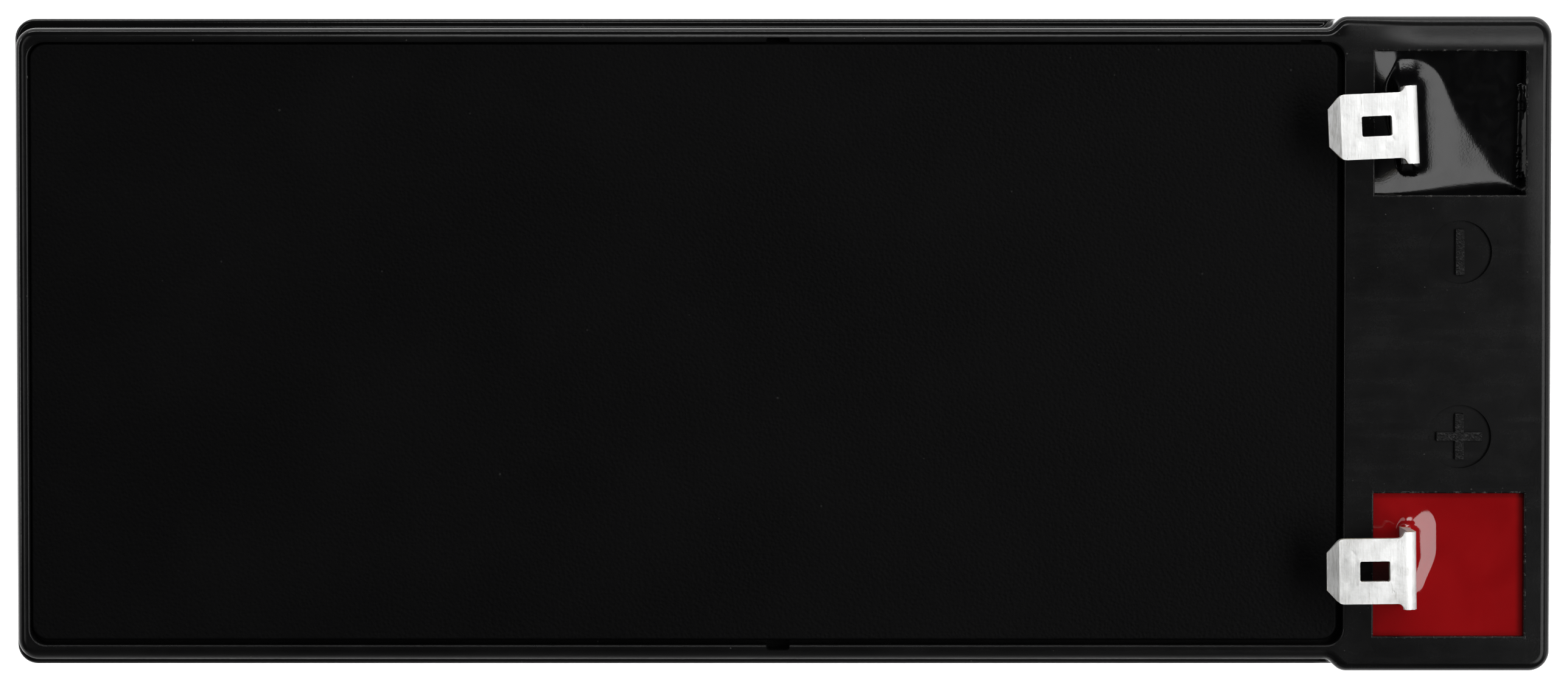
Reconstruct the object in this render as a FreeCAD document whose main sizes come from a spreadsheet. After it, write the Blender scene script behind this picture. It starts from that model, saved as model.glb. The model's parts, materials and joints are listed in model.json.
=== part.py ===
"""Sealed lead-acid block battery, 12 V, six cells in two rows of three, blade terminals at one end.

Row frame, millimetres: origin at the middle of the base, +X along the length towards the terminals,
+Y towards the negative terminal, +Z up out of the lid. The case stands on z = 0.

Cells are numbered along the current path: 1, 2, 3 from the terminal end along +Y, then back 4, 5, 6 along -Y.
"""
import FreeCAD
import Part
import math
import os

import Sketcher
from FreeCAD import Placement, Rotation, Vector

doc = FreeCAD.newDocument("SealedBattery")

# ---------------------------------------------------------------- driving dimensions
SIZES = [
    # outer shell
    ("case_length", 151.0, "overall length"),
    ("case_width", 64.0, "overall width"),
    ("corner_rad", 2.0, "vertical corners of container and lid"),
    ("seam_height", 80.0, "top edge of the container, where the lid lands"),
    ("draft_angle", 0.28, "mould draft of the container's outside, degrees"),
    ("wall_thick", 2.6, "outer walls at the rim"),
    ("floor_thick", 2.6, "container floor"),
    ("divider_thick", 1.6, "walls between cells"),
    ("cell_corner", 1.0, "corner radius inside a cell"),
    ("base_edge_rad", 0.8, "rounding round the base"),
    ("base_margin", 6.0, "flat standing rim round the base panel"),
    ("base_relief", 0.5, "depth of the base panel"),
    ("seam_bevel", 0.25, "small bevel each side of the seam"),
    ("tongue_inset", 1.3, "step from the outside to the tongue"),
    ("tongue_height", 2.4, "tongue and dividers above the seam"),
    ("tongue_gap", 0.05, "clearance of the lid lip round the tongue"),
    ("bead_height", 0.6, "sealant bead on tongue and dividers"),
    # lid
    ("ledge_height", 88.0, "ledge round the raised part of the lid"),
    ("lid_top", 94.0, "top of rim and terminal block"),
    ("skirt_inset", 0.04, "skirt stands in from the container and the terminal block"),
    ("raised_root", 80.3, "where the raised part starts inside the skirt"),
    ("ledge_rad", 0.5, "outer edge of the ledge"),
    ("root_rad", 0.45, "hollow where the raised part stands on the ledge"),
    ("inner_rad", 0.2, "inner top edge of the rim"),
    ("well_edge", 0.15, "top edge of the wells and the polarity discs"),
    ("raised_inset", 1.15, "raised part stands in from the sides and the plain end"),
    ("block_start", 53.8, "x where the sides step out to the terminal block"),
    ("block_ramp", 1.2, "length of that step"),
    ("step_rad_out", 1.5, "step, outer radius"),
    ("step_rad_in", 0.8, "step, inner radius"),
    ("rim_rad", 1.0, "rounded top edge of the rim"),
    ("recess_left", -73.05, "cover recess, x of the plain end"),
    ("recess_right", 55.2, "cover recess, x of the terminal end"),
    ("recess_half", 29.4, "cover recess, half width"),
    ("recess_rad", 1.6, "cover recess corners"),
    ("recess_floor", 92.1, "shelf that carries the cover"),
    ("chamber_left", -71.0, "vent chamber, x of the plain end"),
    ("chamber_right", 53.2, "vent chamber, x of the terminal end"),
    ("chamber_half", 27.4, "vent chamber, half width"),
    ("chamber_floor", 84.8, "vent chamber floor"),
    ("chamber_rad", 1.0, "vent chamber corners"),
    ("rib_x", 23.0, "cross ribs of the vent chamber"),
    ("rib_thick", 1.2, "ribs of the vent chamber"),
    ("rib_notch", 3.0, "gas notch in a rib, width"),
    ("rib_notch_deep", 1.2, "gas notch in a rib, depth"),
    ("outlet_width", 2.3, "gas outlet at the middle of each long side"),
    ("outlet_reach", 29.9, "gas outlet, outer end"),
    ("outlet_floor", 91.3, "gas outlet floor"),
    ("relief_x0", 50.9, "pry relief beside the cover, start"),
    ("relief_x1", 52.9, "pry relief beside the cover, end"),
    ("relief_reach", 29.65, "pry relief, outer end"),
    # vents
    ("vent_x", 46.0, "x of the outer vents"),
    ("vent_y", 14.0, "y of the vents"),
    ("neck_rad", 3.6, "vent neck, outside"),
    ("neck_bore", 2.4, "vent neck, bore"),
    ("neck_top", 90.4, "vent neck, sealing rim"),
    ("cap_rad", 5.2, "rubber cap, outside"),
    ("cap_bore", 3.65, "rubber cap, inside"),
    ("cap_foot", 85.1, "rubber cap, lower edge"),
    ("cap_seat", 90.42, "rubber cap, sealing face"),
    ("cap_top", 91.6, "rubber cap, top"),
    # cover plate
    ("cover_left", -72.98, "cover plate, plain end"),
    ("cover_right", 54.64, "cover plate, terminal end"),
    ("cover_front", -28.95, "cover plate, positive side"),
    ("cover_back", 29.33, "cover plate, negative side"),
    ("cover_rad", 1.6, "cover plate corners"),
    ("cover_thick", 1.5, "cover plate"),
    ("cover_edge", 0.25, "cover plate, softened edge"),
    # terminal wells
    ("well_x", 65.5, "well centre"),
    ("well_y", 21.55, "well centre"),
    ("well_length", 14.7, "well along x"),
    ("well_width", 14.0, "well along y"),
    ("well_floor", 86.5, "well floor"),
    ("resin_top", 92.4, "resin level"),
    ("post_hole", 3.7, "hole for the post, radius"),
    ("core_x0", 57.6, "hollow under the terminal block, start"),
    ("core_x1", 72.6, "hollow under the terminal block, end"),
    ("core_y0", 1.4, "hollow under the terminal block, beside the middle"),
    ("core_y1", 12.6, "hollow under the terminal block, beside the well"),
    ("core_top", 92.0, "hollow under the terminal block, ceiling"),
    ("mark_x", 66.5, "polarity mark centre"),
    ("mark_y", 9.0, "polarity mark centre"),
    ("mark_rad", 3.1, "polarity disc"),
    ("mark_deep", 0.35, "polarity disc depth"),
    ("mark_bar", 0.84, "polarity bar width"),
    ("mark_span", 4.45, "polarity bar length"),
    # blade terminals, x from the post axis
    ("blade_width", 6.3, "blade width"),
    ("blade_thick", 0.8, "blade thickness"),
    ("blade_tip", -12.6, "blade tip"),
    ("blade_bevel", 1.25, "thinned lead-in at the tip"),
    ("blade_tip_half", 1.8, "half width of the tip's end"),
    ("blade_tip_thin", 0.2, "thinning each side at the tip"),
    ("blade_top", 99.5, "upper face of the blade"),
    ("leg_outer", -3.9, "leg face towards the post"),
    ("leg_width", 7.5, "leg and foot width"),
    ("shoulder_x", -5.2, "where the blade widens to the leg"),
    ("neck_fillet", 0.6, "fillet at the shoulder"),
    ("bend_in", 0.5, "inside bend radius"),
    ("bend_out", 1.3, "outside bend radius"),
    ("foot_bottom", 87.7, "underside of the foot"),
    ("foot_end", 4.2, "end of the foot"),
    ("foot_hole", 2.55, "hole in the foot for the post tip"),
    ("slot_x", -8.0, "blade window centre"),
    ("slot_length", 2.9, "blade window length"),
    ("slot_width", 1.95, "blade window width"),
    ("neg_yaw", 2.5, "negative blade, turned on its post, degrees"),
    ("pos_yaw", 0.7, "positive blade, turned on its post, degrees"),
    # posts
    ("post_rad", 3.5, "post shaft"),
    ("tip_rad", 2.5, "post tip"),
    ("tip_top", 89.4, "post tip end"),
    ("solder_rad", 3.6, "solder cone foot"),
    ("solder_top", 90.2, "solder cone top"),
    ("ring_rad", 4.1, "seal ring, centre radius"),
    ("ring_cord", 0.58, "seal ring, cord radius"),
    # plate packs
    ("pos_thick", 2.85, "positive plate"),
    ("neg_thick", 1.85, "negative plate"),
    ("mat_thick", 0.95, "glass mat"),
    ("grid_proud", 0.15, "grid frame stands proud of the paste"),
    ("plate_width", 44.6, "plates"),
    ("plate_foot", 3.65, "plates, lower edge"),
    ("plate_top", 65.65, "plates, upper edge"),
    ("frame_bar", 2.5, "grid frame bars"),
    ("lug_offset", 12.0, "lug from the cell centre"),
    ("lug_width", 9.0, "lug"),
    ("mat_width", 46.6, "glass mat"),
    ("mat_foot", 2.7, "glass mat fold, underside"),
    ("mat_top", 68.0, "glass mat, upper edge"),
    ("pos_count", 4, "positive plates in a cell"),
    ("neg_count", 5, "negative plates in a cell"),
    # straps
    ("strap_foot", 70.0, "strap underside, lug tops"),
    ("strap_top", 74.0, "strap upper face"),
    ("strap_width", 8.0, "strap across the lugs"),
    ("neg_strap_half", 14.1, "half length over five lugs"),
    ("pos_strap_half", 11.7, "half length over four lugs"),
    ("arm_width", 12.0, "arm to the divider"),
    ("upright_thick", 2.6, "upright against the divider"),
    ("upright_top", 79.0, "upright top"),
    ("weld_rad", 3.0, "weld through the divider"),
    ("weld_height", 75.8, "weld centre"),
    # lid underside
    ("rail_drop", 1.4, "locating rails below the deck"),
    ("rail_slot", 2.4, "slot between a pair of rails"),
    ("rail_outer", 4.0, "width over a pair of rails"),
    ("rail_stop", 0.25, "rails stop short of the walls"),
]

sheet = doc.addObject("Spreadsheet::Sheet", "Params")
for row, (alias, value, note) in enumerate(SIZES, start=1):
    sheet.set("A%d" % row, note)
    sheet.set("B%d" % row, repr(value))
    sheet.setAlias("B%d" % row, alias)
doc.recompute()


class Q:
    """A length that carries both its number and the sheet expression it comes from."""

    def __init__(self, number, text):
        self.v, self.e = float(number), text

    def _with(self, other, sign, number):
        other = q(other)
        return Q(number(self.v, other.v), "(%s %s %s)" % (self.e, sign, other.e))

    def __add__(self, o):
        return self._with(o, "+", lambda a, b: a + b)

    def __sub__(self, o):
        return self._with(o, "-", lambda a, b: a - b)

    def __mul__(self, o):
        return self._with(o, "*", lambda a, b: a * b)

    def __truediv__(self, o):
        return self._with(o, "/", lambda a, b: a / b)

    def __radd__(self, o):
        return q(o) + self

    def __rsub__(self, o):
        return q(o) - self

    def __rmul__(self, o):
        return q(o) * self

    def __neg__(self):
        return Q(-self.v, "(-1 * %s)" % self.e)


def q(x):
    return x if isinstance(x, Q) else Q(x, repr(float(x)))


class Sizes:
    pass


p = Sizes()
for alias, value, note in SIZES:
    setattr(p, alias, Q(value, "Params." + alias))

# positions that follow from the sizes
half_length = p.case_length / 2
half_width = p.case_width / 2
deck_under = p.seam_height + p.tongue_height + p.bead_height
cell_length = (p.case_length - 2 * p.wall_thick - 2 * p.divider_thick) / 3
cell_width = (p.case_width - 2 * p.wall_thick - p.divider_thick) / 2
cell_x = cell_length + p.divider_thick
cell_y = cell_width / 2 + p.divider_thick / 2
divider_x = cell_length / 2 + p.divider_thick / 2
pitch = p.neg_thick + 2 * p.mat_thick + p.pos_thick


# ---------------------------------------------------------------- helpers
def bind(obj, prop, value):
    obj.setExpression(prop, q(value).e)


def new_body(label):
    body = doc.addObject("PartDesign::Body", label)
    body.Label = label
    body.AllowCompound = True
    return body


def origin_part(body, role):
    for f in body.Origin.OriginFeatures:
        if f.Role == role:
            return f


def new_sketch(body, name, role="XY_Plane", height=0):
    sk = body.newObject("Sketcher::SketchObject", body.Label + "_" + name)
    sk.AttachmentSupport = [(origin_part(body, role), "")]
    sk.MapMode = "FlatFace"
    height = q(height)
    sk.AttachmentOffset = Placement(Vector(0, 0, height.v), Rotation())
    sk.setExpression("AttachmentOffset.Base.z", height.e)
    return sk


def datum(sk, kind, geo, pos, value):
    """Distance of a point from the origin along one axis, bound to the sheet."""
    value = q(value)
    if abs(value.v) < 1e-9:
        sk.addConstraint(
            Sketcher.Constraint("PointOnObject", geo, pos, -2 if kind == "DistanceX" else -1)
        )
        return
    i = sk.addConstraint(Sketcher.Constraint(kind, -1, 1, geo, pos, value.v))
    sk.setExpression("Constraints[%d]" % i, value.e)


def outline(sk, points):
    """Closed outline. Each point is (x, y) or (x, y, radius); the lines meet at it, rounded by the radius."""
    pts = [(q(t[0]), q(t[1]), q(t[2]) if len(t) > 2 else None) for t in points]
    n = len(pts)
    xy = [Vector(a.v, b.v, 0) for a, b, _ in pts]
    ends, arcs = [], []
    for i in range(n):
        here, before, after = xy[i], xy[i - 1], xy[(i + 1) % n]
        r = pts[i][2]
        if r is None:
            ends.append((here, here))
            arcs.append(None)
            continue
        u, w = (before - here).normalize(), (after - here).normalize()
        turn = math.acos(max(-1.0, min(1.0, u.dot(w))))
        cut = r.v / math.tan(turn / 2)
        t1, t2 = here + u * cut, here + w * cut
        mid = (u + w).normalize() * (r.v / math.sin(turn / 2))
        centre = here + mid
        ends.append((t1, t2))
        arcs.append((centre, t1, t2, r))
    lines, arc_ids = [], []
    for i in range(n):
        a, b = ends[i][1], ends[(i + 1) % n][0]
        lines.append(sk.addGeometry(Part.LineSegment(a, b), False))
    for i in range(n):
        if arcs[i] is None:
            arc_ids.append(None)
            continue
        c, t1, t2, r = arcs[i]
        a1 = math.atan2(t1.y - c.y, t1.x - c.x)
        a2 = math.atan2(t2.y - c.y, t2.x - c.x)
        ccw = (a2 - a1) % (2 * math.pi) < math.pi
        circle = Part.Circle(c, Vector(0, 0, 1), r.v)
        geo = Part.ArcOfCircle(circle, a1, a2) if ccw else Part.ArcOfCircle(circle, a2, a1)
        arc_ids.append((sk.addGeometry(geo, False), ccw))
    for i in range(n):
        before, after = lines[i - 1], lines[i]
        x, y, r = pts[i]
        if arc_ids[i] is None:
            sk.addConstraint(Sketcher.Constraint("Coincident", before, 2, after, 1))
            datum(sk, "DistanceX", after, 1, x)
            datum(sk, "DistanceY", after, 1, y)
            continue
        arc, ccw = arc_ids[i]
        sk.addConstraint(Sketcher.Constraint("Tangent", before, 2, arc, 1 if ccw else 2))
        sk.addConstraint(Sketcher.Constraint("Tangent", after, 1, arc, 2 if ccw else 1))
        k = sk.addConstraint(Sketcher.Constraint("Radius", arc, r.v))
        sk.setExpression("Constraints[%d]" % k, r.e)
        corner = sk.addGeometry(Part.Point(xy[i]), True)
        datum(sk, "DistanceX", corner, 1, x)
        datum(sk, "DistanceY", corner, 1, y)
        sk.addConstraint(Sketcher.Constraint("PointOnObject", corner, 1, before))
        sk.addConstraint(Sketcher.Constraint("PointOnObject", corner, 1, after))


def rect(sk, x0, x1, y0, y1, r=None):
    corners = [(x0, y0), (x1, y0), (x1, y1), (x0, y1)]
    outline(sk, [c if r is None else c + (r,) for c in corners])


def circle(sk, x, y, r):
    x, y, r = q(x), q(y), q(r)
    g = sk.addGeometry(Part.Circle(Vector(x.v, y.v, 0), Vector(0, 0, 1), r.v), False)
    datum(sk, "DistanceX", g, 3, x)
    datum(sk, "DistanceY", g, 3, y)
    k = sk.addConstraint(Sketcher.Constraint("Radius", g, r.v))
    sk.setExpression("Constraints[%d]" % k, r.e)


def pad(body, sk, length, name, down=False, midplane=False, taper=None):
    f = body.newObject("PartDesign::Pad", body.Label + "_" + name)
    f.Profile = sk
    f.Type = 0
    f.Length = q(length).v
    bind(f, "Length", length)
    f.Reversed = down
    f.Midplane = midplane
    if taper is not None:
        f.TaperAngle = q(taper).v
        bind(f, "TaperAngle", taper)
    doc.recompute()
    return f


def pocket(body, sk, length, name, up=False):
    """Cuts down from the sketch, or up. The volume is compared, because a cut that points away does nothing."""
    before = body.Shape.Volume
    f = body.newObject("PartDesign::Pocket", body.Label + "_" + name)
    f.Profile = sk
    f.Type = 0
    f.Length = q(length).v
    bind(f, "Length", length)
    f.Reversed = up
    doc.recompute()
    if not body.Shape.Volume < before - 1e-3:
        raise RuntimeError("%s cut nothing" % f.Name)
    return f


def revolve(body, sk, name):
    f = body.newObject("PartDesign::Revolution", body.Label + "_" + name)
    f.Profile = sk
    f.ReferenceAxis = (sk, ["V_Axis"])
    f.Angle = 360
    doc.recompute()
    return f


def round_edges(body, wanted, radius, name, kind="Fillet"):
    """Rounds or bevels the edges of the body's tip that wanted(edge) picks."""
    base = body.Tip
    names = ["Edge%d" % (i + 1) for i, e in enumerate(base.Shape.Edges) if wanted(e)]
    if not names:
        raise RuntimeError("no edges for " + name)
    f = body.newObject("PartDesign::" + kind, body.Label + "_" + name)
    f.Base = (base, names)
    prop = "Radius" if kind == "Fillet" else "Size"
    setattr(f, prop, q(radius).v)
    bind(f, prop, radius)
    doc.recompute()
    return f


def at_height(z, tol=1e-4):
    z = q(z).v

    def test(e):
        b = e.BoundBox
        return abs(b.ZMin - z) < tol and abs(b.ZMax - z) < tol

    return test


def place(obj, x, y, z=0, yaw=None):
    x, y, z = q(x), q(y), q(z)
    angle = q(yaw).v if yaw is not None else 0
    obj.Placement = Placement(Vector(x.v, y.v, z.v), Rotation(Vector(0, 0, 1), angle))
    obj.setExpression("Placement.Base.x", x.e)
    obj.setExpression("Placement.Base.y", y.e)
    obj.setExpression("Placement.Base.z", z.e)
    if yaw is not None:
        obj.setExpression("Placement.Rotation.Angle", q(yaw).e)


made = []


def keep(obj, label=None):
    if label:
        obj.Label = label
    made.append(obj)
    return obj


def cell_centres():
    return [(k, sx, sy) for k, (sx, sy) in enumerate([(1, 1), (0, 1), (-1, 1), (-1, -1), (0, -1), (1, -1)], start=1)]


# ---------------------------------------------------------------- container
body = new_body("container")
sk = new_sketch(body, "outer", height=p.seam_height)
rect(sk, -half_length, half_length, -half_width, half_width, p.corner_rad)
pad(body, sk, p.seam_height, "walls", down=True, taper=-p.draft_angle)
round_edges(body, at_height(0), p.base_edge_rad, "base_edge")
round_edges(body, at_height(p.seam_height), p.seam_bevel, "seam_edge", kind="Chamfer")
sk = new_sketch(body, "tongue_outline", height=p.seam_height)
rect(
    sk,
    p.tongue_inset - half_length,
    half_length - p.tongue_inset,
    p.tongue_inset - half_width,
    half_width - p.tongue_inset,
    p.corner_rad - p.tongue_inset,
)
pad(body, sk, p.tongue_height, "tongue")


def cell_openings(sk, grow=0):
    for k, sx, sy in cell_centres():
        cx, cy = cell_x * sx, cell_y * sy
        rect(
            sk,
            cx - cell_length / 2 - grow,
            cx + cell_length / 2 + grow,
            cy - cell_width / 2 - grow,
            cy + cell_width / 2 + grow,
            p.cell_corner,
        )


sk = new_sketch(body, "cells", height=p.seam_height + p.tongue_height)
cell_openings(sk)
pocket(body, sk, p.seam_height + p.tongue_height - p.floor_thick, "cell_wells")
# round holes through the dividers for the welds between cells
sk = new_sketch(body, "weld_holes_along", role="YZ_Plane", height=-half_length * 0.5)
circle(sk, cell_y, p.weld_height, p.weld_rad)
circle(sk, -cell_y, p.weld_height, p.weld_rad)
pocket(body, sk, half_length, "weld_holes_x", up=True)
sk = new_sketch(body, "weld_hole_across", role="XZ_Plane", height=-p.divider_thick)
circle(sk, -cell_x - p.lug_offset, p.weld_height, p.weld_rad)
pocket(body, sk, 2 * p.divider_thick, "weld_hole_y", up=True)
sk = new_sketch(body, "base_panel")
rect(
    sk,
    p.base_margin - half_length,
    half_length - p.base_margin,
    p.base_margin - half_width,
    half_width - p.base_margin,
    p.corner_rad,
)
pocket(body, sk, p.base_relief, "base_recess", up=True)
keep(body)

# ---------------------------------------------------------------- sealant bead on the tongue and the dividers
body = new_body("lid_seal_bead")
sk = new_sketch(body, "bead", height=p.seam_height + p.tongue_height)
rect(
    sk,
    p.tongue_inset - half_length,
    half_length - p.tongue_inset,
    p.tongue_inset - half_width,
    half_width - p.tongue_inset,
    p.corner_rad - p.tongue_inset,
)
cell_openings(sk)
pad(body, sk, p.bead_height, "bead_pad")
keep(body)

# ---------------------------------------------------------------- lid
body = new_body("lid")
sk = new_sketch(body, "skirt_outline", height=p.seam_height)
rect(
    sk,
    p.skirt_inset - half_length,
    half_length - p.skirt_inset,
    p.skirt_inset - half_width,
    half_width - p.skirt_inset,
    p.corner_rad - p.skirt_inset,
)
pad(body, sk, p.ledge_height - p.seam_height, "skirt")
round_edges(body, at_height(p.ledge_height), p.ledge_rad, "ledge_edge")
round_edges(body, at_height(p.seam_height), p.seam_bevel, "seam_edge", kind="Chamfer")
sk = new_sketch(body, "raised_outline", height=p.raised_root)
raised_half = half_width - p.raised_inset
ramp_end = p.block_start + p.block_ramp
outline(
    sk,
    [
        (p.raised_inset - half_length, -raised_half, p.corner_rad),
        (p.block_start, -raised_half, p.step_rad_in),
        (ramp_end, -half_width, p.step_rad_out),
        (half_length, -half_width, p.corner_rad),
        (half_length, half_width, p.corner_rad),
        (ramp_end, half_width, p.step_rad_out),
        (p.block_start, raised_half, p.step_rad_in),
        (p.raised_inset - half_length, raised_half, p.corner_rad),
    ],
)
pad(body, sk, p.lid_top - p.raised_root, "raised")
on_ledge = at_height(p.ledge_height)
round_edges(
    body,
    lambda e: on_ledge(e) and e.CenterOfMass.x < p.block_start.v + 0.2 and abs(e.CenterOfMass.y) < raised_half.v + 0.1,
    p.root_rad,
    "root_hollow",
)
round_edges(body, at_height(p.lid_top), p.rim_rad, "rim_edge")
# recess for the cover plate, vent chamber and its ribs
sk = new_sketch(body, "recess_outline", height=p.lid_top)
rect(sk, p.recess_left, p.recess_right, -p.recess_half, p.recess_half, p.recess_rad)
pocket(body, sk, p.lid_top - p.recess_floor, "recess")


def top_edge_inside(e):
    """An edge of the lid's top face that bounds the recess or one of the wells."""
    return at_height(p.lid_top)(e) and all(
        abs(v.Y) < p.recess_half.v + 0.01
        and p.recess_left.v - 0.01 < v.X < p.well_x.v + p.well_length.v / 2 + 0.01
        for v in e.Vertexes
    )


round_edges(
    body,
    lambda e: top_edge_inside(e) and all(v.X < p.recess_right.v + 0.1 for v in e.Vertexes),
    p.inner_rad,
    "rim_inner_edge",
)
sk = new_sketch(body, "chamber_outline", height=p.recess_floor)
rib = p.rib_thick / 2
for y0, y1 in ((rib, p.chamber_half), (-p.chamber_half, -rib)):
    for x0, x1 in (
        (p.chamber_left, -p.rib_x - rib),
        (-p.rib_x + rib, p.rib_x - rib),
        (p.rib_x + rib, p.chamber_right),
    ):
        rect(sk, x0, x1, y0, y1, p.chamber_rad)
pocket(body, sk, p.recess_floor - p.chamber_floor, "chamber")
sk = new_sketch(body, "rib_notches_outline", height=p.recess_floor)
for sy in (1, -1):
    for sx in (1, -1):
        rect(
            sk,
            p.rib_x * sx - p.rib_thick,
            p.rib_x * sx + p.rib_thick,
            p.vent_y * sy - p.rib_notch / 2,
            p.vent_y * sy + p.rib_notch / 2,
        )
for sx in (-1, 0, 1):
    rect(
        sk,
        p.vent_x * sx - p.rib_notch / 2,
        p.vent_x * sx + p.rib_notch / 2,
        -p.rib_thick,
        p.rib_thick,
    )
pocket(body, sk, p.rib_notch_deep, "rib_notches")
sk = new_sketch(body, "outlets_outline", height=p.lid_top)
rect(sk, -p.outlet_width / 2, p.outlet_width / 2, p.chamber_half - 0.5, p.outlet_reach, p.neck_fillet / 2)
rect(sk, -p.outlet_width / 2, p.outlet_width / 2, -p.outlet_reach, 0.5 - p.chamber_half, p.neck_fillet / 2)
pocket(body, sk, p.lid_top - p.outlet_floor, "outlets")
sk = new_sketch(body, "relief_outline", height=p.lid_top)
rect(sk, p.relief_x0, p.relief_x1, p.recess_half - 0.5, p.relief_reach)
pocket(body, sk, p.lid_top - p.recess_floor, "relief")
# vent necks
vents = [(p.vent_x * sx, p.vent_y * sy) for k, sx, sy in cell_centres()]
sk = new_sketch(body, "neck_outline", height=p.chamber_floor)
for x, y in vents:
    circle(sk, x, y, p.neck_rad)
pad(body, sk, p.neck_top - p.chamber_floor, "necks")
sk = new_sketch(body, "neck_bores", height=p.neck_top)
for x, y in vents:
    circle(sk, x, y, p.neck_bore)
pocket(body, sk, p.neck_top - p.seam_height, "bores")
# terminal wells, post holes, polarity marks
sk = new_sketch(body, "wells_outline", height=p.lid_top)
for sy in (1, -1):
    rect(
        sk,
        p.well_x - p.well_length / 2,
        p.well_x + p.well_length / 2,
        p.well_y * sy - p.well_width / 2,
        p.well_y * sy + p.well_width / 2,
    )
pocket(body, sk, p.lid_top - p.well_floor, "wells")
round_edges(
    body,
    lambda e: top_edge_inside(e) and all(v.X > p.recess_right.v + 1 for v in e.Vertexes),
    p.well_edge,
    "well_edges",
)
sk = new_sketch(body, "post_holes_outline", height=p.well_floor)
for sy in (1, -1):
    circle(sk, p.well_x, p.well_y * sy, p.post_hole)
pocket(body, sk, p.well_floor - p.seam_height, "post_holes")
sk = new_sketch(body, "negative_mark", height=p.lid_top)
circle(sk, p.mark_x, p.mark_y, p.mark_rad)
rect(sk, p.mark_x - p.mark_bar / 2, p.mark_x + p.mark_bar / 2, p.mark_y - p.mark_span / 2, p.mark_y + p.mark_span / 2)
pocket(body, sk, p.mark_deep, "minus_disc")
sk = new_sketch(body, "positive_mark", height=p.lid_top)
circle(sk, p.mark_x, -p.mark_y, p.mark_rad)
b, s = p.mark_bar / 2, p.mark_span / 2
outline(
    sk,
    [
        (p.mark_x + dx, -p.mark_y + dy)
        for dx, dy in (
            (-b, -s), (b, -s), (b, -b), (s, -b), (s, b), (b, b),
            (b, s), (-b, s), (-b, b), (-s, b), (-s, -b), (-b, -b),
        )
    ],
)
pocket(body, sk, p.mark_deep, "plus_disc")
# underside: lip round the tongue, locating rails over the dividers, hollow terminal block
sk = new_sketch(body, "lip_outline", height=p.seam_height)
lip = p.tongue_inset - p.tongue_gap
rect(sk, lip - half_length, half_length - lip, lip - half_width, half_width - lip, p.corner_rad - lip)
pocket(body, sk, deck_under - p.seam_height, "lip", up=True)
rail_x = half_length - p.wall_thick - p.rail_stop
rail_y = half_width - p.wall_thick - p.rail_stop
sk = new_sketch(body, "rail_long_outline", height=deck_under - p.rail_drop)
rect(sk, -rail_x, rail_x, -p.rail_outer / 2, p.rail_outer / 2)
pad(body, sk, p.rail_drop, "rail_long")
sk = new_sketch(body, "rail_cross_outline", height=deck_under - p.rail_drop)
for sx in (1, -1):
    rect(sk, divider_x * sx - p.rail_outer / 2, divider_x * sx + p.rail_outer / 2, -rail_y, rail_y)
pad(body, sk, p.rail_drop, "rail_cross")
sk = new_sketch(body, "slot_long_outline", height=deck_under - p.rail_drop)
rect(sk, -rail_x - 0.1, rail_x + 0.1, -p.rail_slot / 2, p.rail_slot / 2)
pocket(body, sk, p.rail_drop, "slot_long", up=True)
sk = new_sketch(body, "slot_cross_outline", height=deck_under - p.rail_drop)
for sx in (1, -1):
    rect(sk, divider_x * sx - p.rail_slot / 2, divider_x * sx + p.rail_slot / 2, -rail_y - 0.1, rail_y + 0.1)
pocket(body, sk, p.rail_drop, "slot_cross", up=True)
sk = new_sketch(body, "core_outline", height=deck_under)
for sy in (1, -1):
    y0, y1 = p.core_y0 * sy, p.core_y1 * sy
    if sy < 0:
        y0, y1 = y1, y0
    rect(sk, p.core_x0, p.core_x1, y0, y1, p.cell_corner)
pocket(body, sk, p.core_top - deck_under, "core", up=True)
keep(body)

# ---------------------------------------------------------------- cover plate over the vents
body = new_body("vent_cover_plate")
sk = new_sketch(body, "cover_outline", height=p.recess_floor)
rect(sk, p.cover_left, p.cover_right, p.cover_front, p.cover_back, p.cover_rad)
pad(body, sk, p.cover_thick, "cover")
round_edges(body, at_height(p.recess_floor + p.cover_thick), p.cover_edge, "cover_soft")
keep(body)

# ---------------------------------------------------------------- rubber valve caps, one on each vent neck
for k, sx, sy in cell_centres():
    body = new_body("valve_cap_%d" % k)
    sk = new_sketch(body, "profile", role="XZ_Plane")
    outline(
        sk,
        [
            (0, p.cap_seat),
            (p.cap_bore, p.cap_seat),
            (p.cap_bore, p.cap_foot),
            (p.cap_rad, p.cap_foot, 0.3),
            (p.cap_rad, p.cap_top, 0.5),
            (0, p.cap_top),
        ],
    )
    revolve(body, sk, "turned")
    place(body, p.vent_x * sx, p.vent_y * sy)
    keep(body)

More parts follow.
